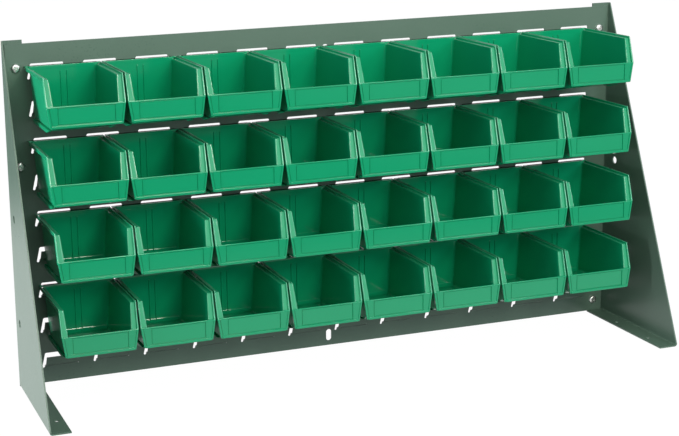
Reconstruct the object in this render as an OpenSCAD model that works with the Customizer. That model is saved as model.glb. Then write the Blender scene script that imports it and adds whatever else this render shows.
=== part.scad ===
// Bench bin rack: a louvred steel panel held upright by two bent end brackets,
// with rows of moulded bins that hang on the louvres by a hook along their back.
// X runs across the rack, -Y is the front, Z is up. The bench is at Z = 0 and
// the origin is under the middle of the whole rack.

/* [Rack] */
// Height of the whole rack above the bench, which sets the rows of louvres and bins
rack_h = 482.6; // [380:0.1:600]

/* [Bins] */
// Bins side by side in a row
bin_cols = 8; // [4:1:9]
// Width of a bin over its rim
bin_w = 104.8; // [85:0.1:130]
// Height of a bin from its runners to its rim
bin_h = 76.2; // [66:0.1:88]
// Length of a bin from its back wall to its front face
bin_d = 129.5; // [110:0.1:160]
// Room between the rims of two bins in a row
bin_gap = 2.2; // [1:0.1:8]
// Thickness of the moulded walls
bin_wall = 2; // [1.5:0.1:3]
// Length of the level top edge of a side wall
top_len = 118; // [95:0.5:120]
// Height of the low front wall above the runners
lip_h = 40; // [32:0.5:48]
// Height of the front wall's bottom edge above the runners
front_low = 11.8; // [9:0.1:18]
// Length of the flat underside, behind the sloping front part
flat_len = 85; // [60:0.5:95]
// Height of the runners below the floor
runner_h = 4; // [2:0.1:6]
// Width of a runner
runner_w = 4.5; // [3:0.1:7]
// Depth of the rim, measured down from its top
rim_h = 5.5; // [4:0.1:9]
// How far the rim stands out from the side wall
rim_out = 5; // [3:0.1:6]
// How far the side wall leans in from its top to its foot
side_taper = 5.2; // [3:0.1:8]
// How far a runner stands out from the foot of the side wall
runner_out = 2.4; // [1:0.1:4]
// Width of the raised lip along the rim's outer edge
lip_w = 1.8; // [1.2:0.1:2.5]
// Depth of the ledge inside the raised lip
ledge_drop = 3; // [1.5:0.1:3.5]
// How far the front face narrows on each side from its lip to its bottom
face_taper = 4.4; // [3:0.1:6]
// Length of the flared corner behind the front face
ear_len = 22; // [14:0.5:30]
// Thickness of the flared corner at its outer edge
ear_edge = 3; // [2:0.1:6]

/* [Bin details] */
// Width of the label recess on the front face
label_w = 76; // [50:0.5:80]
// Depth of the label recess
label_d = 0.8; // [0.4:0.1:1]
// Height of the ledge under the label
ledge_h = 3.2; // [2:0.1:5]
// How far the ledge stands out
ledge_out = 1.2; // [0.6:0.1:2]
// Slot between the two divider ribs
rib_slot = 7; // [3:0.1:12]
// Width of a divider rib
rib_w = 1.6; // [1:0.1:3]
// How far a divider rib stands out from its wall
rib_out = 1.5; // [0.8:0.1:3]
// Distance of the ribs' upper ends from the edge of their wall
rib_stop = 8; // [4:0.5:14]

/* [Hook] */
// Thickness of the hook's shelf and of its blade at the root
hook_t = 2.1; // [1.5:0.1:2.4]
// Thickness of the blade at its tip
hook_tip = 1; // [0.8:0.1:1.4]
// Length of the blade below the shelf
hook_drop = 7.1; // [5:0.1:8]
// Clearance between the hook and the louvre that it hangs on
hang_gap = 0.3; // [0.2:0.05:0.5]
// How far a bin lifts to come off its louvre
lift = 12; // [9:0.5:14]

/* [Panel] */
// Thickness of the panel's sheet
panel_t = 1.5; // [1:0.1:2]
// Distance between louvres across the panel
louvre_x = 73.3; // [64:0.1:90]
// Distance between louvres up the panel
louvre_z = 50.8; // [46:0.1:64]
// Width of a louvre's opening at its top
slot_w = 45.6; // [38:0.1:54]
// Height of a louvre's opening above its fold
slot_h = 19.4; // [18:0.1:26]
// How far the opening widens on each side towards its fold
slot_flare = 3; // [1:0.1:4]
// Width of the slit beside a louvre's tab
slit_w = 1.6; // [1.2:0.1:3.4]
// Height of the tab above its fold
tab_h = 14.4; // [13:0.1:16]
// How far the tab stands forward of the panel
tab_reach = 5.9; // [5.2:0.1:7]
// Height of the sloping step that carries the tab forward
tab_step = 3; // [2:0.1:4]
// Panel edge to the first bin, at the left
side_left = 23.7; // [20:0.1:60]
// Last bin to the panel edge, at the right
side_right = 38.8; // [20:0.1:60]
// How far the lower half of the rows hangs to the right of the upper half
lower_shift = 5; // [-10:0.5:10]
// Panel edge above the top louvres
top_edge = 27.7; // [20:0.1:60]
// Least panel edge below the fold of the lowest louvres
bottom_edge = 20; // [18:0.1:23]
// Room between the panel and the bench
panel_lift = 0.8; // [0.5:0.1:4]
// Diameter of the round hanging hole at the top
hang_hole_d = 9; // [6:0.1:10]
// Centre of the hanging hole below the panel's top edge
hang_hole_drop = 33; // [14:0.5:40]
// Width of the upright oblong hole at the bottom
oblong_w = 8.3; // [5:0.1:10]
// Height of the oblong hole
oblong_h = 17.3; // [14:0.1:18]
// Centre of the oblong hole above the panel's bottom edge
oblong_rise = 15.6; // [13:0.1:20]

/* [Brackets] */
// Thickness of the brackets' sheet
bracket_t = 1.9; // [1.2:0.1:3]
// Depth of a bracket at the bench
bracket_d = 203.2; // [180:0.1:260]
// How far a bracket stands above the panel
bracket_above = 5; // [0:0.5:20]
// Depth of the wing at its top
wing_top = 5.5; // [5.5:0.1:40]
// Inside radius of the bends
bend_r = 2; // [1:0.1:3]
// Width of the back flange and of the foot, over the wing
flange_w = 28.6; // [26:0.1:36]
// Room between the panel's edge and the bend's inside
end_gap = 0.4; // [0.2:0.1:2]
// Height of the notch below the back flange
flange_notch = 8; // [6:0.5:14]
// Diameter of the holes in the foot
foot_hole_d = 6.5; // [4:0.1:9]
// Centre of the foot holes from the foot's inner edge
foot_hole_edge = 10; // [6.5:0.1:14]
// Front foot hole from the front end of the foot
foot_hole_front = 45; // [20:0.5:70]
// Distance between the two holes of a foot
foot_hole_gap = 83; // [50:0.5:100]
// Diameter of the holes in the wing
wing_hole_d = 11; // [6:0.1:14]
// Wing holes from the back of the bracket
wing_hole_back = 30; // [18:0.5:45]
// Lower wing hole above the bench
wing_hole_low = 98.4; // [40:0.1:140]
// Distance between the two wing holes
wing_hole_gap = 146.2; // [60:0.1:180]

/* [Fasteners] */
// Diameter of the panel screws
screw_d = 6.35; // [4:0.05:8]
// Diameter of the holes for the panel screws
screw_hole_d = 7.1; // [6.8:0.1:8.5]
// Diameter of a screw's pan head
head_d = 12; // [9.5:0.1:14]
// Height of a screw's pan head
head_h = 3.6; // [2.6:0.1:4.4]
// Width of the cross recess in the head
recess_w = 1.4; // [0.8:0.1:2]
// Length of the cross recess
recess_l = 6.4; // [4:0.1:8]
// Depth of the cross recess
recess_d = 1.8; // [1:0.1:2.2]
// Width of a nut across its flats
nut_af = 11.1; // [9.5:0.1:13]
// Thickness of a nut
nut_t = 5.6; // [4:0.1:7]
// Clearance between a nut and the screw's shank
nut_gap = 0.05; // [0.02:0.01:0.2]
// How far a screw stands out behind its nut
screw_tail = 1.5; // [0.5:0.1:4]
// Screws from the panel's edge
screw_side = 13.7; // [12.5:0.1:16]
// Lowest screw above the panel's bottom edge
screw_low = 17.8; // [14:0.1:40]
// Highest screw below the panel's top edge
screw_high = 32.9; // [14:0.1:60]
// Step between the three lower screws, as a share of the screws' whole run
screw_share = 0.3425; // [0.25:0.0025:0.4]

/* [Hidden] */
steel_green = [0.33, 0.41, 0.37];
bin_green = [0.11, 0.62, 0.38];
zinc = [0.80, 0.81, 0.82];
eps = 0.5;
arc_fn = 48;

// The panel, its grid of louvres and the strip between its two middle columns
bin_pitch = bin_w + bin_gap;
stack_room = 2;
louvres_per_bin = ceil((bin_h + lift + stack_room) / louvre_z);
panel_w = bin_cols * bin_pitch + side_left + side_right;
panel_top = rack_h - bracket_above;
panel_h = panel_top - panel_lift;
louvre_rise = panel_h - top_edge - slot_h - bottom_edge;
louvre_rows = floor(louvre_rise / louvre_z) + 1;
bin_rows = floor((louvre_rows - 1) / louvres_per_bin);
louvre_span = panel_w - 2 * flange_w - slot_w - 2 * slot_flare;
louvre_cols = floor(louvre_span / louvre_x) + 1;
top_fold = panel_top - top_edge - slot_h;
mid_x = louvre_cols % 2 == 0 ? 0 : louvre_x / 2;

// Overall size, and the planes that the pieces stand on
inner_w = panel_w + 2 * (bend_r + end_gap);
rack_w = inner_w + 2 * bracket_t;
screw_back = nut_t + screw_tail;
back_y = (bracket_d - screw_back) / 2;
panel_back_y = back_y - bracket_t;
panel_front_y = panel_back_y - panel_t;
bend_out = bend_r + bracket_t;
foot_back = bracket_t + panel_t + end_gap + bend_r;
screw_x = panel_w / 2 - screw_side;
screw_run = panel_h - screw_low - screw_high;
screw_zs = [for (share = [0, screw_share, 2 * screw_share, 1])
    panel_lift + screw_low + share * screw_run];

// The bins stand clear of the tabs that they hang on
bin_back_y = panel_front_y - tab_reach - hang_gap;

// The bin's half widths, and the slope under its front
rim_x = bin_w / 2;
wall_top_x = rim_x - rim_out;
wall_foot_x = wall_top_x - side_taper;
runner_x = wall_foot_x + runner_out;
face_low_x = rim_x - face_taper;
ramp = front_low / (bin_d - flat_len);
ramp_start = flat_len + runner_h / ramp;
ramp_wall = bin_wall * sqrt(1 + ramp * ramp);
floor_z = runner_h + bin_wall;
front_lean = (bin_d - top_len) / (bin_h - lip_h);
rim_back = rim_h * sqrt(1 + front_lean * front_lean);

function bin_name(r, c) = str("bin_r", r, "_c", c);
function fold_z(row) = top_fold - row * louvre_z;
function louvre_place(col) = (col - (louvre_cols - 1) / 2) * louvre_x;
function row_shift(r) = r > bin_rows / 2 ? lower_shift : 0;
function bin_place(r, c) = -panel_w / 2 + side_left + (c - 0.5) * bin_pitch + row_shift(r);
function bin_base_z(r) =
    fold_z((r - 1) * louvres_per_bin) + tab_h + hang_gap + hook_t - bin_h;
function wall_x(z) = wall_foot_x + side_taper * (z - runner_h) / (bin_h - runner_h);

// A prism whose outline lies in the Y-Z plane, between two places along X
module side_prism(x0, x1, outline) {
    translate([x0, 0, 0])
        rotate([90, 0, 90])
            linear_extrude(x1 - x0)
                polygon(outline);
}

// A prism whose outline lies in the X-Z plane, running forward from a place along Y
module front_prism(y0, length, outline) {
    translate([0, y0, 0])
        rotate([90, 0, 0])
            linear_extrude(length)
                polygon(outline);
}

// A hole along Y through everything between two places
module hole_y(x, z, d, y0, y1) {
    translate([x, y1, z])
        rotate([90, 0, 0])
            cylinder(h = y1 - y0, d = d, $fn = arc_fn);
}

// The opening of one louvre: a window with two rounded slits beside the fold
module louvre_opening() {
    depth = panel_t + 2 * eps;
    front_prism(panel_back_y + eps, depth, [
        [-slot_w / 2 - slot_flare, 0],
        [slot_w / 2 + slot_flare, 0],
        [slot_w / 2, slot_h],
        [-slot_w / 2, slot_h]
    ]);
    for (side = [-1, 1])
        hole_y(side * (slot_w / 2 + slot_flare - slit_w / 2), 0, slit_w,
               panel_front_y - eps, panel_back_y + eps);
}

// The tab of one louvre: a step that slopes forward from the fold, then an upright lip
module louvre_tab() {
    step_l = sqrt(tab_reach * tab_reach + tab_step * tab_step);
    rise = panel_t * (step_l - tab_step) / tab_reach;
    weld = -slit_w / 2;
    foot_x = slot_w / 2 + slot_flare - slit_w;
    tip_x = foot_x - slot_flare * tab_h / slot_h;
    intersection() {
        side_prism(-foot_x, foot_x, [
            [panel_front_y, weld],
            [panel_front_y, 0],
            [panel_front_y - tab_reach, tab_step],
            [panel_front_y - tab_reach, tab_h],
            [panel_front_y - tab_reach + panel_t, tab_h],
            [panel_front_y - tab_reach + panel_t, tab_step + rise],
            [panel_back_y, rise],
            [panel_back_y, weld]
        ]);
        front_prism(panel_back_y + eps, tab_reach + panel_t + 2 * eps, [
            [-foot_x, weld - eps],
            [foot_x, weld - eps],
            [foot_x, 0],
            [tip_x, tab_h + eps],
            [-tip_x, tab_h + eps],
            [-foot_x, 0]
        ]);
    }
}

module louvered_panel() {
    color(steel_green)
        union() {
            difference() {
                translate([-panel_w / 2, panel_front_y, panel_lift])
                    cube([panel_w, panel_t, panel_h]);
                for (row = [0 : louvre_rows - 1], col = [0 : louvre_cols - 1])
                    translate([louvre_place(col), 0, fold_z(row)])
                        louvre_opening();
                for (side = [-1, 1], z = screw_zs)
                    hole_y(side * screw_x, z, screw_hole_d, panel_front_y - eps, panel_back_y + eps);
                translate([mid_x, 0, 0]) {
                    hole_y(0, panel_top - hang_hole_drop, hang_hole_d,
                           panel_front_y - eps, panel_back_y + eps);
                    oblong_hole();
                }
            }
            for (row = [0 : louvre_rows - 1], col = [0 : louvre_cols - 1])
                translate([louvre_place(col), 0, fold_z(row)])
                    louvre_tab();
        }
}

// The upright oblong hole in the middle of the panel's bottom edge
module oblong_hole() {
    half = (oblong_h - oblong_w) / 2;
    centre_z = panel_lift + oblong_rise;
    for (end = [-1, 1])
        hole_y(0, centre_z + end * half, oblong_w, panel_front_y - eps, panel_back_y + eps);
    translate([-oblong_w / 2, panel_front_y - eps, centre_z - half])
        cube([oblong_w, panel_t + 2 * eps, 2 * half]);
}

// A quarter of a bend, centred on the bend's axis, for a corner at minus X and minus Y
module bend_section() {
    intersection() {
        difference() {
            circle(r = bend_out, $fn = arc_fn);
            circle(r = bend_r, $fn = arc_fn);
        }
        translate([-bend_out, -bend_out])
            square(bend_out);
    }
}

// The left bracket, from one sheet: wing, back flange and foot joined by two bends
module bracket() {
    wing_x = -rack_w / 2;
    flat = flange_w - bend_out;
    foot_len = bracket_d - foot_back;
    flange_len = rack_h - flange_notch;
    difference() {
        union() {
            side_prism(wing_x, wing_x + bracket_t, [
                [back_y - bend_out, bend_out],
                [back_y - bracket_d, bend_out],
                [back_y - wing_top, rack_h],
                [back_y - bend_out, rack_h]
            ]);
            translate([wing_x + bend_out, back_y - bend_out, flange_notch])
                mirror([0, 1, 0])
                    linear_extrude(flange_len)
                        bend_section();
            translate([wing_x + bend_out, back_y - bracket_t, flange_notch])
                cube([flat, bracket_t, flange_len]);
            translate([wing_x + bend_out, back_y - foot_back, bend_out])
                rotate([90, 0, 0])
                    linear_extrude(foot_len)
                        bend_section();
            translate([wing_x + bend_out, back_y - bracket_d, 0])
                cube([flat, foot_len, bracket_t]);
        }
        for (z = screw_zs)
            hole_y(-screw_x, z, screw_hole_d, back_y - bracket_t - eps, back_y + eps);
        for (step = [0, 1])
            translate([wing_x + flange_w - foot_hole_edge,
                       back_y - bracket_d + foot_hole_front + step * foot_hole_gap, -eps])
                cylinder(h = bracket_t + 2 * eps, d = foot_hole_d, $fn = arc_fn);
        for (step = [0, 1])
            translate([wing_x - eps, back_y - wing_hole_back, wing_hole_low + step * wing_hole_gap])
                rotate([0, 90, 0])
                    cylinder(h = bracket_t + 2 * eps, d = wing_hole_d, $fn = arc_fn);
    }
}

module left_bracket() {
    color(steel_green)
        bracket();
}

module right_bracket() {
    color(steel_green)
        mirror([1, 0, 0])
            bracket();
}

// One pan-head screw along Y, its head against the panel's front
module panel_screw() {
    crown_h = head_h / 3;
    crown_in = head_d / 8;
    shank_l = panel_t + bracket_t + screw_back;
    rotate([90, 0, 0])
        difference() {
            rotate_extrude($fn = arc_fn)
                polygon([
                    [0, -shank_l],
                    [screw_d / 2, -shank_l],
                    [screw_d / 2, 0],
                    [head_d / 2, 0],
                    [head_d / 2, head_h - crown_h],
                    [head_d / 2 - crown_in, head_h],
                    [0, head_h]
                ]);
            for (turn = [0, 90])
                rotate([0, 0, 45 + turn])
                    translate([-recess_l / 2, -recess_w / 2, head_h - recess_d])
                        cube([recess_l, recess_w, recess_d + eps]);
        }
}

module panel_screws() {
    color(zinc)
        for (side = [-1, 1], z = screw_zs)
            translate([side * screw_x, panel_front_y, z])
                panel_screw();
}

// One hexagon nut along Y, against the back of the flange
module panel_nut() {
    rotate([-90, 0, 0])
        difference() {
            cylinder(h = nut_t, d = nut_af / cos(30), $fn = 6);
            translate([0, 0, -eps])
                cylinder(h = nut_t + 2 * eps, d = screw_d + 2 * nut_gap, $fn = arc_fn);
        }
}

module panel_nuts() {
    color(zinc)
        for (side = [-1, 1], z = screw_zs)
            translate([side * screw_x, back_y, z])
                panel_nut();
}

// The outside of a bin's walls and floor, before it is hollowed
module bin_walls() {
    intersection() {
        side_prism(-rim_x, rim_x, [
            [0, runner_h],
            [0, bin_h],
            [-top_len, bin_h],
            [-bin_d, lip_h],
            [-bin_d, front_low],
            [-ramp_start, runner_h]
        ]);
        front_prism(0, bin_d, [
            [-wall_foot_x, runner_h],
            [wall_foot_x, runner_h],
            [wall_top_x, bin_h],
            [-wall_top_x, bin_h]
        ]);
    }
}

// The hollow of a bin, open at the top and above the low front wall
module bin_hollow() {
    top_z = bin_h + eps;
    intersection() {
        side_prism(-rim_x, rim_x, [
            [-bin_wall, floor_z],
            [-bin_wall, top_z],
            [-bin_d - eps, top_z],
            [-bin_d - eps, lip_h],
            [-bin_d + bin_wall, lip_h],
            [-bin_d + bin_wall, front_low - ramp * bin_wall + ramp_wall],
            [-flat_len - (floor_z - ramp_wall) / ramp, floor_z]
        ]);
        front_prism(0, bin_d + eps, [
            [-wall_x(floor_z) + bin_wall, floor_z],
            [wall_x(floor_z) - bin_wall, floor_z],
            [wall_x(top_z) - bin_wall, top_z],
            [-wall_x(top_z) + bin_wall, top_z]
        ]);
    }
}

// What is taken off the rim inside its raised lip, from the back wall to the front one
module rim_ledge() {
    top_z = bin_h + eps;
    ledge_x = rim_x - lip_w;
    ledge_back = ledge_drop * sqrt(1 + front_lean * front_lean);
    side_prism(-ledge_x, ledge_x, [
        [-bin_wall, bin_h - ledge_drop],
        [-bin_wall, top_z],
        [-bin_d - eps, top_z],
        [-bin_d - eps, lip_h],
        [-bin_d + ledge_back, lip_h],
        [-top_len - ledge_drop * front_lean + ledge_back, bin_h - ledge_drop]
    ]);
}

// The rim along the top and down the sloping front edge of both side walls
module bin_rim() {
    corner_y = -top_len - rim_h * front_lean + rim_back;
    root_x = wall_x(lip_h) - bin_wall;
    for (side = [0, 1])
        mirror([side, 0, 0])
            side_prism(root_x, rim_x, [
                [0, bin_h],
                [-top_len, bin_h],
                [-bin_d, lip_h],
                [-bin_d + rim_back, lip_h],
                [corner_y, bin_h - rim_h],
                [0, bin_h - rim_h]
            ]);
}

// The flared corners that carry the front face out to the rim's width
module bin_face() {
    intersection() {
        front_prism(-bin_d + ear_len, ear_len, [
            [-face_low_x, front_low],
            [face_low_x, front_low],
            [rim_x, lip_h],
            [-rim_x, lip_h]
        ]);
        translate([0, 0, front_low])
            linear_extrude(lip_h - front_low)
                polygon([
                    [-rim_x, -bin_d],
                    [rim_x, -bin_d],
                    [rim_x, -bin_d + ear_edge],
                    [wall_foot_x, -bin_d + ear_len],
                    [-wall_foot_x, -bin_d + ear_len],
                    [-rim_x, -bin_d + ear_edge]
                ]);
        side_prism(-rim_x, rim_x, [
            [-bin_d, front_low],
            [-bin_d, lip_h],
            [-bin_d + ear_len, lip_h],
            [-bin_d + ear_len, front_low - ramp * ear_len]
        ]);
    }
}

// The two runners that a bin stands on when it is off the rack
module bin_runners() {
    weld = bin_wall / 2;
    for (side = [0, 1])
        mirror([side, 0, 0])
            side_prism(runner_x - runner_w, runner_x, [
                [0, 0],
                [-flat_len, 0],
                [-ramp_start - weld / ramp, runner_h + weld],
                [0, runner_h + weld]
            ]);
}

// The hook: a shelf behind the back wall with a blade that hangs behind the tab
module bin_hook() {
    blade_z = bin_h - hook_t - hook_drop;
    side_prism(-wall_top_x, wall_top_x, [
        [-bin_wall, bin_h],
        [tab_reach, bin_h],
        [tab_reach, blade_z],
        [tab_reach - hook_tip, blade_z],
        [tab_reach - hook_t, bin_h - hook_t],
        [-bin_wall, bin_h - hook_t]
    ]);
}

// Two pairs of ribs, on the back and front walls, that hold a divider
module bin_ribs() {
    back_top = bin_h - rib_stop;
    front_top = lip_h - rib_stop;
    sink = bin_wall / 2;
    for (side = [0, 1])
        mirror([side, 0, 0])
            translate([rib_slot / 2, 0, 0]) {
                side_prism(0, rib_w, [
                    [-sink, floor_z - sink],
                    [-sink, back_top],
                    [-bin_wall - rib_out, back_top],
                    [-bin_wall - rib_out, floor_z - sink]
                ]);
                side_prism(0, rib_w, [
                    [-bin_d + sink, front_low + sink],
                    [-bin_d + sink, front_top],
                    [-bin_d + bin_wall + rib_out, front_top],
                    [-bin_d + bin_wall + rib_out, front_low + sink]
                ]);
            }
}

// One bin, its back wall at Y = 0 and its runners at Z = 0
module hang_bin() {
    ledge_x = face_low_x - bin_wall;
    ledge_top = front_low + ledge_h;
    union() {
        difference() {
            union() {
                bin_walls();
                bin_rim();
                bin_face();
                bin_runners();
                bin_hook();
            }
            bin_hollow();
            rim_ledge();
            translate([-label_w / 2, -bin_d - eps, ledge_top])
                cube([label_w, label_d + eps, lip_h - ledge_top + eps]);
        }
        translate([-ledge_x, -bin_d - ledge_out, front_low])
            cube([2 * ledge_x, ledge_out + label_d, ledge_h]);
        bin_ribs();
    }
}

module placed_bin(r, c) {
    color(bin_green)
        translate([bin_place(r, c), bin_back_y, bin_base_z(r)])
            hang_bin();
}

louvered_panel();
left_bracket();
right_bracket();
panel_screws();
panel_nuts();
for (r = [1 : bin_rows], c = [1 : bin_cols])
    placed_bin(r, c);
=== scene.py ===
import math

import bmesh
import bpy
from mathutils import Matrix, Vector


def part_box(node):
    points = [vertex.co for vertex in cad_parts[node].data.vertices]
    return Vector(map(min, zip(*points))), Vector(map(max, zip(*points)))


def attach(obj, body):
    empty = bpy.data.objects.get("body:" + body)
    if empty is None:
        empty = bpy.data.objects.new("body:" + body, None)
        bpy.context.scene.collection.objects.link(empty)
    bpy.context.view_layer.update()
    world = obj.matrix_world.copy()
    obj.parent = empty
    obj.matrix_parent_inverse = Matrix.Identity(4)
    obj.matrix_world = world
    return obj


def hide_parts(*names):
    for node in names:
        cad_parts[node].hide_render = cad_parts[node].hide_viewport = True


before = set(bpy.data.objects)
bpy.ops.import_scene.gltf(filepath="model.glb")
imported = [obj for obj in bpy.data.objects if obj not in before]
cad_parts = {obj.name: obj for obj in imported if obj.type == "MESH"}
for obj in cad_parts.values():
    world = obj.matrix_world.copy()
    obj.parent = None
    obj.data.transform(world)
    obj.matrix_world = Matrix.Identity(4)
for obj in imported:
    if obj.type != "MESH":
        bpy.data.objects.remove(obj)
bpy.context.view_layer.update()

# Louvred panel. One flat sheet of 1.5 mm steel, punched with nine rows of twelve louvres;
# each tab is lanced from its window and folded forward about the window's bottom edge.
# The whole sheet is sprayed with a grey-green satin paint before it is screwed to the brackets.
mm = 0.001
panel_low, panel_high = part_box("louvered_panel")
panel_w, panel_h = panel_high.x - panel_low.x, panel_high.z - panel_low.z
panel_t = 1.5 * mm
panel_front = panel_high.y - panel_t
panel_mid = (panel_low.x + panel_high.x) / 2
louvre_cols, louvre_rows = 12, 9
louvre_x, louvre_z = 73.3 * mm, 50.8 * mm
top_fold = panel_high.z - 47.1 * mm
tab_half, window_half, window_h = 23.6 * mm, 22.8 * mm, 19.4 * mm
window_corner = 1.2 * mm
left_slit, right_slit = 3.6 * mm, 0.7 * mm
tab_narrowing = 3 / 19.4
tab_run = [
    (0.1, 0.35), (0.45, 0.75), (1.3, 1.2), (4.6, 2.9),
    (5.35, 3.4), (5.75, 4.1), (5.9, 5.0), (5.9, 14.4),
]
screw_x, screw_heights, screw_hole_d = 445.55 * mm, (18.6, 164.5, 310.5, 444.7), 7.1 * mm
screw_places = [(panel_mid + side * screw_x, z * mm) for side in (-1, 1) for z in screw_heights]
hang_hole_d, hang_hole_drop = 9 * mm, 33 * mm
oblong_d, oblong_rise, oblong_stretch = 8.3 * mm, 15.6 * mm, 4.5 * mm


def ring(bm, points):
    """A closed run of edges through points on the flat of a sheet."""
    corners = [bm.verts.new((x, y, 0)) for x, y in points]
    return [bm.edges.new(pair) for pair in zip(corners, corners[1:] + corners[:1])]


def round_hole(bm, x, y, d):
    """The edge of a round hole on the flat of a sheet."""
    place = Matrix.Translation((x, y, 0))
    return bmesh.ops.create_circle(bm, segments=32, radius=d / 2, matrix=place)["verts"]


def louvre_end(slit):
    """One end of a window, from the fold round a half-round slit up to the window's top."""
    run = [(tab_half, 0)]
    for step in range(1, 8):
        turn = math.pi * (1 + step / 8)
        run.append((tab_half + slit / 2 * (1 + math.cos(turn)), slit / 2 * math.sin(turn)))
    run.append((tab_half + slit, 0))
    run.append((window_half, window_h - window_corner))
    run.append((window_half - window_corner, window_h))
    return run


def louvre_window(bm, x, z):
    """The window of one louvre; its last edge is the fold that the tab hangs on."""
    whole = louvre_end(right_slit) + [(-a, b) for a, b in reversed(louvre_end(left_slit))]
    return ring(bm, [(x + a, z + b) for a, b in whole])[-1]


def face_way(bm, way):
    """Turns a sheet so that its largest face looks along way."""
    bmesh.ops.recalc_face_normals(bm, faces=bm.faces[:])
    largest = max(bm.faces, key=lambda f: f.calc_area())
    if largest.normal.dot(Vector(way)) < 0:
        bmesh.ops.reverse_faces(bm, faces=bm.faces[:])


def finish_mesh(bm, name, smooth=None):
    """Puts a finished shape in the scene as one object at the origin."""
    mesh = bpy.data.meshes.new(name)
    bm.to_mesh(mesh)
    bm.free()
    if smooth is not None:
        mesh.shade_smooth()
        mesh.set_sharp_from_angle(angle=math.radians(smooth))
    piece = bpy.data.objects.new(name, mesh)
    bpy.context.scene.collection.objects.link(piece)
    if smooth is not None:
        even = piece.modifiers.new("even_normals", "WEIGHTED_NORMAL")
        even.keep_sharp = True
    return piece


class Tone:
    """One value on its way through the nodes of a finish."""

    def __init__(self, tree, socket=None):
        self.tree = tree
        self.socket = socket

    def make(self, kind, settings, sockets, out=0):
        """Adds a node of any kind and gives one of its outputs."""
        node = self.tree.nodes.new(kind)
        for name, value in settings.items():
            setattr(node, name, value)
        for name, value in sockets.items():
            if isinstance(value, Tone):
                self.tree.links.new(value.socket, node.inputs[name])
            else:
                node.inputs[name].default_value = value
        return Tone(self.tree, node.outputs[out])

    def __add__(self, other):
        return self.make("ShaderNodeMath", {"operation": "ADD"}, {0: self, 1: other})

    def __radd__(self, other):
        return self.make("ShaderNodeMath", {"operation": "ADD"}, {0: other, 1: self})

    def __mul__(self, other):
        return self.make("ShaderNodeMath", {"operation": "MULTIPLY"}, {0: self, 1: other})

    def __rmul__(self, other):
        return self.make("ShaderNodeMath", {"operation": "MULTIPLY"}, {0: other, 1: self})


def new_finish(name):
    """An empty material: its shader node, and a start for the values that feed it."""
    finish = bpy.data.materials.new(name)
    finish.use_nodes = True
    return finish, finish.node_tree.nodes["Principled BSDF"], Tone(finish.node_tree)


def noise(start, where, scale, detail, rough):
    """A cloudy pattern of values between 0 and 1."""
    sockets = {"Vector": where, "Scale": scale, "Detail": detail, "Roughness": rough}
    return start.make("ShaderNodeTexNoise", {}, sockets)


def mix(start, share, a, b):
    """A colour on the way from a to b; the numbers are the Mix node's colour sockets."""
    return start.make("ShaderNodeMix", {"data_type": "RGBA"}, {0: share, 6: a, 7: b}, out=2)


def join(start, shader, values):
    """Links finished values to a shader's inputs."""
    for name, value in values.items():
        start.tree.links.new(value.socket, shader.inputs[name])


rack_paint, shader, start = new_finish("rack_paint")
where = start.make("ShaderNodeTexCoord", {}, {}, out="Object")
cloud = noise(start, where, 7.0, 3.0, 0.55)
fleck = noise(start, where, 320.0, 2.0, 0.6)
peel = noise(start, where, 750.0, 2.0, 0.5)
shade = mix(start, cloud, (0.087, 0.15, 0.116, 1), (0.108, 0.176, 0.141, 1))
shade = mix(start, fleck * 0.35, shade, (0.13, 0.2, 0.163, 1))
bump = start.make("ShaderNodeBump", {}, {"Strength": 0.12, "Distance": 0.2 * mm, "Height": peel})
rough = 0.22 + cloud * 0.08 + fleck * 0.08
join(start, shader, {"Base Color": shade, "Roughness": rough, "Normal": bump})
shader.inputs["IOR"].default_value = 1.41

bm = bmesh.new()
ring(bm, [(-panel_w / 2, 0), (panel_w / 2, 0), (panel_w / 2, panel_h), (-panel_w / 2, panel_h)])
middle_col = (louvre_cols - 1) / 2
folds = [
    louvre_window(bm, (col - middle_col) * louvre_x, top_fold - row * louvre_z - panel_low.z)
    for row in range(louvre_rows)
    for col in range(louvre_cols)
]
for x, z in screw_places:
    round_hole(bm, x - panel_mid, z - panel_low.z, screw_hole_d)
round_hole(bm, 0, panel_h - hang_hole_drop, hang_hole_d)
oblong = round_hole(bm, 0, oblong_rise, oblong_d)
upper = [v for v in oblong if v.co.y > oblong_rise + 0.01 * mm]
lower = [v for v in oblong if v.co.y < oblong_rise - 0.01 * mm]
bmesh.ops.translate(bm, vec=(0, oblong_stretch, 0), verts=upper)
bmesh.ops.translate(bm, vec=(0, -oblong_stretch, 0), verts=lower)
bmesh.ops.triangle_fill(bm, use_beauty=True, edges=bm.edges[:], normal=(0, 0, 1))
reach = rise = 0
for new_reach, new_rise in tab_run:
    made = bmesh.ops.extrude_edge_only(bm, edges=folds)["geom"]
    tops = {v for v in made if isinstance(v, bmesh.types.BMVert)}
    step = Vector((0, new_rise - rise, new_reach - reach)) * mm
    bmesh.ops.translate(bm, vec=step, verts=list(tops))
    for v in tops:
        middle = (math.floor(v.co.x / louvre_x) + 0.5) * louvre_x
        v.co.x -= math.copysign(step.y * tab_narrowing, v.co.x - middle)
    folds = [e for e in made if isinstance(e, bmesh.types.BMEdge) and set(e.verts) <= tops]
    reach, rise = new_reach, new_rise
face_way(bm, (0, 0, 1))
bmesh.ops.solidify(bm, geom=bm.faces[:], thickness=panel_t)
upright = Matrix.Rotation(math.pi / 2, 4, "X")
stand = Matrix.Translation((panel_mid, panel_front, panel_low.z)) @ upright
bmesh.ops.transform(bm, matrix=stand, verts=bm.verts[:])
panel = finish_mesh(bm, "panel_sheet")
panel.data.materials.append(rack_paint)
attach(panel, "rack")
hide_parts("louvered_panel")

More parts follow.
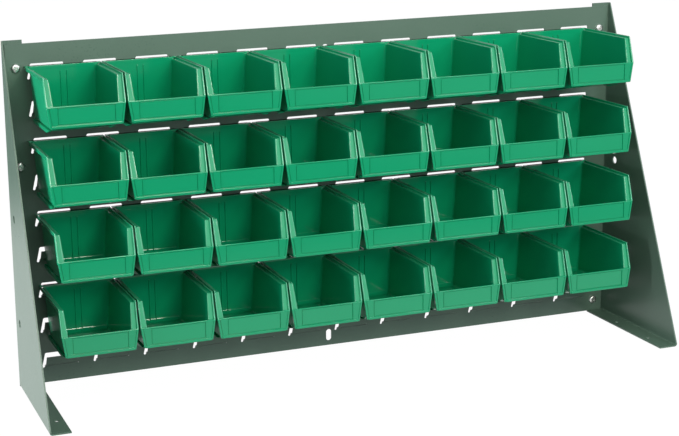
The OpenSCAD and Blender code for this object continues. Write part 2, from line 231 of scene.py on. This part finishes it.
# End brackets. Each is one sheet of 1.9 mm steel with a three-cornered wing, folded along its
# back into a flange that the panel is screwed to and along its bottom into a foot.
# They are drilled for bench and wall screws and wear the same paint as the panel.
bracket_t = 1.9 * mm
bend = 3.9 * mm
wing_top = 5.5 * mm
foot_end, spine_rise = 5.2 * mm, 0.8 * mm
wing_hole_d, wing_hole_back, wing_hole_heights = 11 * mm, 30 * mm, (98.4, 244.6)
foot_hole_d, foot_hole_edge, foot_hole_places = 6.5 * mm, 10 * mm, (45, 128)


def flat_between(bm, edge, reach, holes):
    """Carries a bend's last edge on into a flat leaf with round holes in it."""
    made = bmesh.ops.extrude_edge_only(bm, edges=[edge])["geom"]
    ends = [v for v in made if isinstance(v, bmesh.types.BMVert)]
    bmesh.ops.translate(bm, vec=reach, verts=ends)
    leaf = [f for f in made if isinstance(f, bmesh.types.BMFace)]
    rim = set(leaf[0].edges)
    bmesh.ops.delete(bm, geom=leaf, context="FACES_ONLY")
    for place, d in holes:
        verts = bmesh.ops.create_circle(bm, segments=32, radius=d / 2, matrix=place)["verts"]
        rim |= {e for v in verts for e in v.link_edges}
    bmesh.ops.triangle_fill(bm, use_beauty=True, edges=list(rim))


def bend_edge(bm, edge, centre, axis, turn):
    """Rolls an edge round a bend and gives the edge that it ends at."""
    seed = [edge, *edge.verts]
    made = bmesh.ops.spin(bm, geom=seed, cent=centre, axis=axis, angle=turn, steps=8)
    return next(e for e in made["geom_last"] if isinstance(e, bmesh.types.BMEdge))


def edge_at(bm, a, b):
    """The edge whose ends lie at a and b."""
    a, b = Vector(a), Vector(b)

    def miss(edge):
        first, last = (v.co for v in edge.verts)
        return min((first - a).length + (last - b).length, (last - a).length + (first - b).length)

    return min(bm.edges, key=miss)


for side, name in ((-1, "left_bracket"), (1, "right_bracket")):
    low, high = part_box(name)
    outer = low.x if side < 0 else high.x
    inner = high.x if side < 0 else low.x
    back, top = high.y, high.z
    wing_back, wing_foot, foot_back = back - bend, low.z + bend, back - foot_end
    spine_foot = low.z + spine_rise
    bm = bmesh.new()
    ring(
        bm,
        [
            (low.y, wing_foot),
            (foot_back, wing_foot),
            (foot_back, spine_foot),
            (wing_back, spine_foot),
            (wing_back, top),
            (back - wing_top, top),
        ],
    )
    for z in wing_hole_heights:
        round_hole(bm, back - wing_hole_back, z * mm, wing_hole_d)
    bmesh.ops.triangle_fill(bm, use_beauty=True, edges=bm.edges[:], normal=(0, 0, 1))
    end_on = Matrix(((0, 0, 1, outer), (1, 0, 0, 0), (0, 1, 0, 0), (0, 0, 0, 1)))
    bmesh.ops.transform(bm, matrix=end_on, verts=bm.verts[:])
    axis_x = outer - side * bend
    spine = edge_at(bm, (outer, wing_back, spine_foot), (outer, wing_back, top))
    spine = bend_edge(bm, spine, (axis_x, wing_back, 0), (0, 0, 1), side * math.pi / 2)
    sole = edge_at(bm, (outer, low.y, wing_foot), (outer, foot_back, wing_foot))
    sole = bend_edge(bm, sole, (axis_x, 0, wing_foot), (0, 1, 0), side * math.pi / 2)
    leaf = inner - axis_x
    screw_holes = [
        (Matrix.Translation((x, back, z)) @ upright, screw_hole_d)
        for x, z in screw_places
        if x * side > 0
    ]
    flat_between(bm, spine, (leaf, 0, 0), screw_holes)
    bolt_holes = [
        (Matrix.Translation((inner + side * foot_hole_edge, low.y + y * mm, low.z)), foot_hole_d)
        for y in foot_hole_places
    ]
    flat_between(bm, sole, (leaf, 0, 0), bolt_holes)
    face_way(bm, (side, 0, 0))
    bmesh.ops.solidify(bm, geom=bm.faces[:], thickness=bracket_t)
    bracket = finish_mesh(bm, name + "_sheet", smooth=32)
    bracket.data.materials.append(rack_paint)
    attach(bracket, "rack")
    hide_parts(name)

# Panel screws. Eight zinc-plated steel machine screws with a pan head and a cross recess, four at
# each end; they pass through the panel and the bracket's flange into a nut behind.
head_h, recess_d, recess_taper = 3.6 * mm, 1.8 * mm, 0.6
recess_arm, recess_half = 3.2 * mm, 0.7 * mm
screw_outline = [
    (0, -10.5), (2.6, -10.5), (3.1, -10.0), (2.75, -9.5), (3.17, -9.0), (2.75, -8.5), (3.17, -8.0),
    (3.17, 0), (6.0, 0), (6.0, 1.5), (5.75, 2.4), (5.1, 3.05), (4.3, 3.42), (3.55, 3.6),
]
zinc, shader, start = new_finish("zinc")
where = start.make("ShaderNodeTexCoord", {}, {}, out="Object")
bloom = noise(start, where, 260.0, 3.0, 0.6)
grain = noise(start, where, 1800.0, 2.0, 0.5)
plate = mix(start, bloom, (0.58, 0.59, 0.58, 1), (0.74, 0.74, 0.72, 1))
bump = start.make("ShaderNodeBump", {}, {"Strength": 0.1, "Distance": 0.1 * mm, "Height": grain})
join(start, shader, {"Base Color": plate, "Roughness": 0.24 + bloom * 0.16, "Normal": bump})
shader.inputs["Metallic"].default_value = 1.0

bm = bmesh.new()
profile = [bm.verts.new((r * mm, 0, z * mm)) for r, z in screw_outline]
runs = [bm.edges.new(pair) for pair in zip(profile, profile[1:])]
bmesh.ops.spin(
    bm,
    geom=profile + runs,
    cent=(0, 0, 0),
    axis=(0, 0, 1),
    angle=2 * math.pi,
    steps=32,
    use_merge=True,
)
bmesh.ops.remove_doubles(bm, verts=bm.verts[:], dist=1e-6)
crown = [e for e in bm.edges if e.is_boundary]
cross = []
for quarter in range(4):
    turn = Matrix.Rotation(math.radians(45 + 90 * quarter), 2)
    for arm in ((recess_arm, -recess_half), (recess_arm, recess_half), (recess_half, recess_half)):
        cross.append(bm.verts.new((*(turn @ Vector(arm)), head_h)))
mouth = [bm.edges.new(pair) for pair in zip(cross, cross[1:] + cross[:1])]
bmesh.ops.triangle_fill(bm, use_beauty=True, edges=crown + mouth, normal=(0, 0, 1))
made = bmesh.ops.extrude_edge_only(bm, edges=mouth)["geom"]
deep = [v for v in made if isinstance(v, bmesh.types.BMVert)]
bmesh.ops.scale(bm, vec=(recess_taper, recess_taper, 1), verts=deep)
bmesh.ops.translate(bm, vec=(0, 0, -recess_d), verts=deep)
recess_floor = [e for e in made if isinstance(e, bmesh.types.BMEdge) and set(e.verts) <= set(deep)]
bmesh.ops.triangle_fill(bm, use_beauty=True, edges=recess_floor, normal=(0, 0, 1))
bmesh.ops.recalc_face_normals(bm, faces=bm.faces[:])
screw_shape = bpy.data.meshes.new("screw_shape")
bm.to_mesh(screw_shape)
bm.free()


def set_copies(shape, places):
    """One bmesh that holds a copy of a shape at each place."""
    whole = bmesh.new()
    for place in places:
        first = len(whole.verts)
        whole.from_mesh(shape)
        whole.verts.ensure_lookup_table()
        bmesh.ops.transform(whole, matrix=place, verts=whole.verts[first:])
    return whole


screw_spots = [Matrix.Translation((x, panel_front, z)) @ upright for x, z in screw_places]
screws = finish_mesh(set_copies(screw_shape, screw_spots), "panel_screw_set", smooth=35)
screws.data.materials.append(zinc)
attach(screws, "rack")
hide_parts("panel_screws")

# Panel nuts. Eight plain hexagon nuts of zinc-plated steel behind the brackets' flanges,
# chamfered on both faces, one on each screw.
nut_r, nut_t, nut_bore, nut_chamfer = 6.409 * mm, 5.6 * mm, 6.45 * mm, 0.6 * mm
bm = bmesh.new()
sixths = [math.radians(60 * k) for k in range(6)]
ring(bm, [(nut_r * math.cos(turn), nut_r * math.sin(turn)) for turn in sixths])
round_hole(bm, 0, 0, nut_bore)
bmesh.ops.triangle_fill(bm, use_beauty=True, edges=bm.edges[:], normal=(0, 0, 1))
made = bmesh.ops.extrude_face_region(bm, geom=bm.faces[:])["geom"]
far_face = [v for v in made if isinstance(v, bmesh.types.BMVert)]
bmesh.ops.translate(bm, vec=(0, 0, nut_t), verts=far_face)
bmesh.ops.recalc_face_normals(bm, faces=bm.faces[:])
level = [e for e in bm.edges if abs(e.verts[0].co.z - e.verts[1].co.z) < 1e-6]
rims = [e for e in level if all(v.co.xy.length > nut_bore * 0.75 for v in e.verts)]
bmesh.ops.bevel(
    bm, geom=rims, offset=nut_chamfer, segments=2, profile=0.5, affect="EDGES", material=-1
)
nut_shape = bpy.data.meshes.new("nut_shape")
bm.to_mesh(nut_shape)
bm.free()
flange_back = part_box("panel_nuts")[0].y
backward = Matrix.Rotation(-math.pi / 2, 4, "X")
nut_spots = [Matrix.Translation((x, flange_back, z)) @ backward for x, z in screw_places]
nuts = finish_mesh(set_copies(nut_shape, nut_spots), "panel_nut_set", smooth=35)
nuts.data.materials.append(zinc)
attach(nuts, "rack")
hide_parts("panel_nuts")

# Bins. Thirty-two alike tubs moulded in one shot from glossy green polypropylene, open at the top
# and above a low front wall. A rim with a raised outer lip runs along both sides, and each bin
# hangs by a hook along its back that drops behind the louvres' tabs.
bin_h, bin_d, top_len, lip_h = 76.2, 129.5, 118.0, 40.0  # millimetres, as all sizes of a bin
wall, floor_z, ledge_drop, hook_out = 2.0, 4.0, 3.0, 5.9
lean = math.atan((bin_d - top_len) / (bin_h - lip_h))
mitre = (1 - math.sin(lean)) / math.cos(lean)


def wall_x(z):
    """Half width over the side walls at a height; they lean out a little towards the top."""
    return 42.2 + 5.2 * (z - floor_z) / (bin_h - floor_z)


def soften(bm, edges, radius, segments):
    """Rounds edges off."""
    bmesh.ops.bevel(
        bm,
        geom=edges,
        offset=radius * mm,
        offset_type="OFFSET",
        segments=segments,
        profile=0.5,
        affect="EDGES",
        clamp_overlap=True,
        material=-1,
    )


def thicken(bm, face, way):
    """Pushes a copy of a lone face along way and closes the sides."""
    made = bmesh.ops.extrude_face_region(bm, geom=[face])["geom"]
    ends = [v for v in made if isinstance(v, bmesh.types.BMVert)]
    bmesh.ops.translate(bm, vec=Vector(way) * mm, verts=ends)
    bmesh.ops.recalc_face_normals(bm, faces=bm.faces[:])


def side_slab(points, x0, x1, radius=0.0):
    """A slab with its outline in the side view, between two places across the bin."""
    bm = bmesh.new()
    face = bm.faces.new([bm.verts.new(Vector((x0, y, z)) * mm) for y, z in points])
    thicken(bm, face, (x1 - x0, 0, 0))
    if radius:
        soften(bm, bm.edges[:], radius, 2)
    return bm


def tub():
    """Back wall, floor, front slope and side walls, as one skin with rounded corners."""
    skin_top = 72.9
    corner = (-top_len + mitre * (bin_h - skin_top), skin_top)
    front = [(-126.0, 38), (-128.6, 37), (-128.6, 11.6)]
    bm = side_slab([(0, floor_z), (0, skin_top), corner, *front, (-100.1, floor_z)], -1, 1)
    for v in bm.verts:
        v.co.x = math.copysign(wall_x(v.co.z / mm) * mm, v.co.x)

    def left_open(face):
        middle = face.calc_center_median() / mm
        above = middle.z > 60 and face.normal.y < 0.5
        ahead = middle.y < -120 and middle.z > 12
        return abs(face.normal.x) < 0.5 and (above or ahead)

    bmesh.ops.delete(bm, geom=[f for f in bm.faces if left_open(f)], context="FACES_ONLY")
    loose = [e for e in bm.edges if not e.link_faces]
    bmesh.ops.delete(bm, geom=loose, context="EDGES")
    soften(bm, [e for e in bm.edges if len(e.link_faces) == 2], 5.0, 4)
    bmesh.ops.solidify(bm, geom=bm.faces[:], thickness=wall * mm)
    return bm


def sink(bm, face, width, depth):
    """Insets a face and lets it in, or brings it out again."""
    bmesh.ops.inset_region(
        bm,
        faces=[face],
        thickness=width * mm,
        depth=depth * mm,
        use_boundary=True,
        use_even_offset=True,
    )


def front_wall():
    """The low front wall with the shallow recess that a label card lies in."""
    lip_half, foot_half, front_low = 52.2, 48.0, 11.8
    card_half, card_low, card_high = 38, 15.4, 38.4
    groove = (49.6, 48.4)
    tilt = (lip_half - foot_half) / (lip_h - front_low)
    bm = bmesh.new()
    half = [(lip_half, lip_h), (foot_half, front_low)]
    points = half + [(-x, z) for x, z in reversed(half)]
    face = bm.faces.new([bm.verts.new(Vector((x, -bin_d, z)) * mm) for x, z in points])
    thicken(bm, face, (0, wall, 0))
    soften(bm, bm.edges[:], 0.7, 3)
    cuts = [((x, 0, 0), (1, 0, 0)) for x in (card_half, -card_half)]
    cuts += [((0, 0, z), (0, 0, 1)) for z in (card_low, card_high)]
    cuts += [((way * x, 0, lip_h), (way, 0, -tilt)) for way in (1, -1) for x in groove]
    for spot, normal in cuts:
        flat = [f for f in bm.faces if f.normal.y < -0.999]
        edges, corners = {e for f in flat for e in f.edges}, {v for f in flat for v in f.verts}
        geom = [*flat, *edges, *corners]
        bmesh.ops.bisect_plane(bm, geom=geom, plane_co=Vector(spot) * mm, plane_no=normal)

    def flat_face(x, z):
        spot = Vector((x, -bin_d, z)) * mm
        flat = [f for f in bm.faces if f.normal.y < -0.999]
        return min(flat, key=lambda f: (f.calc_center_median() - spot).length)

    for x in (-46.9, 46.9):
        sink(bm, flat_face(x, 26), 0.15, -0.8)
    card = flat_face(0, 27)
    for width, depth in ((0.15, -1.4), (0.9, 0), (0.15, 0.8)):
        sink(bm, card, width, depth)
    return bm


def rim(side):
    """The rim of one side: a ledge with a raised outer lip, mitred where it turns down the front.

    Its section is given as the way out from the wall and the drop below the rim's top.
    """
    section = [(-0.5, ledge_drop), (5.0, ledge_drop), (5.3, 0), (7.0, 0), (7.0, 5.5), (0.4, 5.5)]
    bm = bmesh.new()

    def spot(station, out, drop):
        if station == "back":
            y, z = 0, bin_h - drop
        elif station == "corner":
            y, z = -top_len + mitre * drop, bin_h - drop
        else:
            y, z = -bin_d + drop / math.cos(lean), lip_h
        if station == "root":
            y, z = max(y, 0.3 - bin_d), 37.5
        span = 52.4 if z > 60 else 52.2
        root = wall_x(z) - wall
        return Vector((side * (root + (span - root) * (out + 0.5) / 7.5), y, z)) * mm

    verts = [bm.verts.new(spot("back", *point)) for point in section]
    face = bm.faces.new(verts)
    rails = [[v] for v in verts]
    for station in ("corner", "lip", "root"):
        cap = [face, *face.edges, *face.verts]
        made = bmesh.ops.extrude_face_region(bm, geom=cap)["geom"]
        fresh = [v for v in made if isinstance(v, bmesh.types.BMVert)]
        verts = [min(fresh, key=lambda v: (v.co - old.co).length) for old in verts]
        for v, point, rail in zip(verts, section, rails):
            v.co = spot(station, *point)
            rail.append(v)
        face = next(f for f in made if isinstance(f, bmesh.types.BMFace))
    bmesh.ops.recalc_face_normals(bm, faces=bm.faces[:])
    lip_edges, inner_edge, lower_edge = (2, 3), (0,), (4,)
    for chosen, radius in ((lip_edges, 0.7), (inner_edge, 1.3), (lower_edge, 0.6)):
        pairs = [pair for rail in chosen for pair in zip(rails[rail], rails[rail][1:])]
        soften(bm, [bm.edges.get(pair) for pair in pairs], radius, 4)
    return bm


def gusset(side):
    """The hollow-backed corner that carries the front wall out from the side wall."""
    bm = bmesh.new()
    top = [(43.5, -127.8), (52.0, -127.8), (52.0, -126.4), (44.0, -107.6), (43.5, -107.6)]
    foot = [(43.0, -127.8), (47.8, -127.8), (47.8, -126.8), (43.4, -112.0), (42.6, -112.0)]
    for level, points in ((39.0, top), (12.6, foot)):
        for x, y in points:
            bm.verts.new(Vector((side * x, y, level)) * mm)
    bmesh.ops.convex_hull(bm, input=bm.verts[:])
    bmesh.ops.recalc_face_normals(bm, faces=bm.faces[:])
    return bm


hook_outline = [
    (-2.15, bin_h), (hook_out, bin_h), (hook_out, 67.0), (4.9, 67.0),
    (3.8, 74.1), (-0.2, 74.1), (-0.2, 71.4), (-2.15, 71.4),
]
shelf_outline = [(-0.3, bin_h), (hook_out, bin_h), (hook_out, 74.2), (-0.3, 74.2)]
corner_turns = [math.radians(90 * step / 10) for step in range(11)]
corner_outline = [(-8.5 + 7 * math.cos(turn), 13 - 7.2 * math.sin(turn)) for turn in corner_turns]
corner_outline += [(-8.5, 5), (-1.2, 5)]
card_ledge_outline = [(-130.7, 11.8), (-128.9, 11.8), (-128.9, 15), (-130.7, 15)]
runner_outline = [(0, 0), (0, 5.2), (-103.9, 5.0), (-85, 0)]
back_rib_outline = [(-1.5, 5), (-1.5, 68.2), (-3.5, 68.2), (-3.5, 5)]
front_rib_outline = [(-128, 12.8), (-128, 32), (-126, 32), (-126, 12.8)]
bin_parts = [
    tub(),
    front_wall(),
    side_slab(hook_outline, -47.3, 47.3, 0.3),
    side_slab(corner_outline, -41, 41),
    side_slab(shelf_outline, -52.3, 52.3, 0.3),
    side_slab(card_ledge_outline, -46, 46, 0.5),
]
for side in (-1, 1):
    bin_parts += [
        rim(side),
        gusset(side),
        side_slab(runner_outline, side * 40.1, side * 44.6, 0.5),
        side_slab(back_rib_outline, side * 3.5, side * 5.1, 0.4),
        side_slab(front_rib_outline, side * 3.5, side * 5.1, 0.4),
    ]
bin_shape = bpy.data.meshes.new("bin_shape")
whole = bmesh.new()
for part in bin_parts:
    part.to_mesh(bin_shape)
    part.free()
    whole.from_mesh(bin_shape)
    bin_shape.clear_geometry()
whole.to_mesh(bin_shape)
whole.free()

# The rim's lip and inner edge are narrow and carry a painted highlight, a paler colour that stands
# in for the light they catch. The outsides and the ledges have a duller skin.
for mark in ("painted_highlight", "dull"):
    bin_shape.attributes.new(mark, "FLOAT", "FACE")
marks = zip(bin_shape.attributes["painted_highlight"].data, bin_shape.attributes["dull"].data)
for face, (highlight_share, dull_share) in zip(bin_shape.polygons, marks):
    spot = face.center / mm
    front_edge = -top_len - (bin_h - spot.z) * math.tan(lean)
    drop = min(bin_h - spot.z, (spot.y - front_edge) * math.cos(lean))
    inward = abs(spot.x) - wall_x(spot.z) + wall
    on_rim = spot.z > lip_h + 0.3
    on_lip = on_rim and abs(spot.x) > 49.4 and drop < 0.8
    on_edge = on_rim and inward < 1.5 and ledge_drop < drop < 4.6
    on_ledge = on_rim and inward > 1.2 and abs(drop - ledge_drop) < 0.2
    faces_out = face.normal.x * math.copysign(1, spot.x) > 0.7
    on_wall = faces_out and 41 < abs(spot.x) < 48.5 and spot.z < 70
    # Painted highlight shares: 1 on the raised lip, 0.8 on the rim's inner edge.
    highlight_share.value = 1.0 if on_lip else 0.8 if on_edge else 0.0
    dull_share.value = 2.0 if on_ledge else 1.0 if on_wall else 0.0

bin_plastic, shader, start = new_finish("bin_plastic")
where = start.make("ShaderNodeTexCoord", {}, {}, out="Object")
flow = noise(start, where, 11.0, 2.0, 0.5)
cast = noise(start, where, 60.0, 3.0, 0.55)
skin = noise(start, where, 900.0, 2.0, 0.5)
shade = mix(start, flow, (0.0028, 0.298, 0.136, 1), (0.0042, 0.333, 0.157, 1))
shade = mix(start, cast * 0.3, shade, (0.005, 0.313, 0.149, 1))
# Painted highlight: the rim's lip and inner edge are mixed towards a pale mint in place of the
# light they catch.
painted_highlight = start.make("ShaderNodeAttribute", {"attribute_name": "painted_highlight"}, {}, out="Fac")
shade = mix(start, painted_highlight * 0.5, shade, (0.1, 0.46, 0.28, 1))
ripple = start.make("ShaderNodeBump", {}, {"Strength": 0.08, "Distance": 0.3 * mm, "Height": cast})
fine = {"Strength": 0.06, "Distance": 0.1 * mm, "Height": skin, "Normal": ripple}
bump = start.make("ShaderNodeBump", {}, fine)
dull = start.make("ShaderNodeAttribute", {"attribute_name": "dull"}, {}, out="Fac")
rough = 0.07 + cast * 0.06 + dull * 0.22
join(start, shader, {"Base Color": shade, "Roughness": rough, "Normal": bump})
shader.inputs["IOR"].default_value = 1.49

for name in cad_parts:
    if not name.startswith("bin_"):
        continue
    low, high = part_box(name)
    place = Matrix.Translation(((low.x + high.x) / 2, high.y - hook_out * mm, low.z))
    tub_piece = finish_mesh(set_copies(bin_shape, [place]), name + "_tub", smooth=32)
    tub_piece.data.materials.append(bin_plastic)
    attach(tub_piece, name)
    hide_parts(name)

# Studio. A white paper sweep that the rack stands on and that fills the background, soft lamps in
# front and above, weaker fills beside them and one for the left wing, and a camera that looks from
# the left of the rack and a little above it.
bm = bmesh.new()
bmesh.ops.create_grid(bm, x_segments=1, y_segments=1, size=20)
sweep = finish_mesh(bm, "sweep")


def larger(start, a, b):
    return start.make("ShaderNodeMath", {"operation": "MAXIMUM"}, {0: a, 1: b})


def seen_rays(start):
    """Each 1 for some rays: those straight from the camera, and reflected or refracted ones."""
    kinds = ("Is Camera Ray", "Is Glossy Ray", "Is Transmission Ray")
    rays = [start.make("ShaderNodeLightPath", {}, {}, out=kind) for kind in kinds]
    return rays[0], larger(start, rays[1], rays[2])


def smooth_range(start, value, near, far, first, last):
    """A value that goes smoothly from first at near to last at far."""
    sockets = {"Value": value, "From Min": near, "From Max": far, "To Min": first, "To Max": last}
    return start.make("ShaderNodeMapRange", {"interpolation_type": "SMOOTHSTEP"}, sockets)


sweep_paper, shader, start = new_finish("sweep_paper")
shader.inputs["Base Color"].default_value = (0.25, 0.25, 0.25, 1)
shader.inputs["Roughness"].default_value = 0.9
where = start.make("ShaderNodeTexCoord", {}, {}, out="Object")
lit_middle, lit_scale, paper_white = (0.25, 0.35, 0), (0.65, 1.15, 0), 1.16
offset = start.make("ShaderNodeVectorMath", {"operation": "SUBTRACT"}, {0: where, 1: lit_middle})
spread = start.make("ShaderNodeVectorMath", {"operation": "MULTIPLY"}, {0: offset, 1: lit_scale})
away = start.make("ShaderNodeVectorMath", {"operation": "LENGTH"}, {0: spread}, out="Value")
# Seen in reflections, the paper glows as a painted pool of light round lit_middle that fades
# outwards, plus a painted brighter strip towards its right end.
fade = smooth_range(start, away, 0.7, 1.5, paper_white, 0.08)
across = start.make("ShaderNodeSeparateXYZ", {}, {0: where})
right_end = smooth_range(start, across, 0.3, 1.3, 0.0, 0.5)
straight, mirrored = seen_rays(start)
# Straight from the camera the paper is evenly white; reflected rays see the painted pool and
# right-end strip.
strength = straight * paper_white + mirrored * larger(start, fade, right_end)
glow = start.make("ShaderNodeEmission", {}, {"Color": (1, 1, 1, 1), "Strength": strength})
lit_paper = Tone(start.tree, shader.outputs[0])
share = larger(start, straight, mirrored) * 0.85
paper = start.make("ShaderNodeMixShader", {}, {0: share, 1: lit_paper, 2: glow})
start.tree.links.new(paper.socket, start.tree.nodes["Material Output"].inputs["Surface"])
sweep.data.materials.append(sweep_paper)

world = bpy.data.worlds.new("studio")
bpy.context.scene.world = world
world.use_nodes = True
start = Tone(world.node_tree)
backdrop = world.node_tree.nodes["Background"]
straight, mirrored = seen_rays(start)
backdrop.inputs["Color"].default_value = (0.96, 0.99, 1, 1)
level = 0.35 + larger(start, straight, mirrored) * 0.65
world.node_tree.links.new(level.socket, backdrop.inputs["Strength"])


def soft_lamp(name, place, target, size, power, colour):
    """A round lamp at a place, turned towards a target."""
    lamp = bpy.data.lights.new(name, "AREA")
    lamp.shape, lamp.size, lamp.energy, lamp.color = "DISK", size, power, colour
    lamp_object = bpy.data.objects.new(name, lamp)
    bpy.context.scene.collection.objects.link(lamp_object)
    lamp_object.location = place
    aim = Vector(target) - Vector(place)
    lamp_object.rotation_euler = aim.to_track_quat("-Z", "Y").to_euler()


soft_lamp("key", (0.35, -2.45, 1.5), (0, 0, 0.25), 0.8, 28, (1, 0.99, 0.85))
soft_lamp("top", (-0.2, -1.6, 2.4), (0, 0, 0.3), 1.2, 17, (1, 0.99, 0.9))
soft_lamp("front_right", (1.3, -2.3, 1.1), (0.2, 0, 0.15), 0.8, 15, (0.92, 0.98, 1))
soft_lamp("front_left", (-1.5, -2.5, 1.2), (0.1, 0, 0.25), 1.2, 8, (1, 0.99, 0.84))
soft_lamp("front_fill", (0.3, -3.0, 0.8), (0.15, 0, 0.1), 1.5, 8, (0.94, 0.98, 1))
soft_lamp("left_fill", (-1.9, 0.0, 0.25), (-0.46, 0, 0.15), 0.7, 30, (1, 0.98, 0.98))

frame_w, frame_h, focal, axis_x, axis_y = 679, 436, 1526.85, 220, 170  # pixels of the photo
view = bpy.data.cameras.new("view")
view.sensor_width = 36
view.lens = focal * view.sensor_width / frame_w
view.shift_x = 0.5 - axis_x / frame_w
view.shift_y = (axis_y - frame_h / 2) / frame_w
view.clip_start, view.clip_end = 0.01, 100
yaw, pitch, roll = (math.radians(turn) for turn in (-17.912, 11.794, -1.558))
level_back = Vector((math.sin(yaw), -math.cos(yaw), 0))
back = level_back * math.cos(pitch) + Vector((0, 0, math.sin(pitch)))
level_right = Vector((0, 0, 1)).cross(back).normalized()
level_up = back.cross(level_right)
right = level_right * math.cos(roll) + level_up * math.sin(roll)
up = level_up * math.cos(roll) - level_right * math.sin(roll)
camera = bpy.data.objects.new("view", view)
bpy.context.scene.collection.objects.link(camera)
camera.matrix_world = Matrix((right, up, back)).transposed().to_4x4()
camera.location = (-0.81235, -1.91651, 0.72179)
bpy.context.scene.camera = camera
bpy.context.scene.view_settings.view_transform = "Standard"
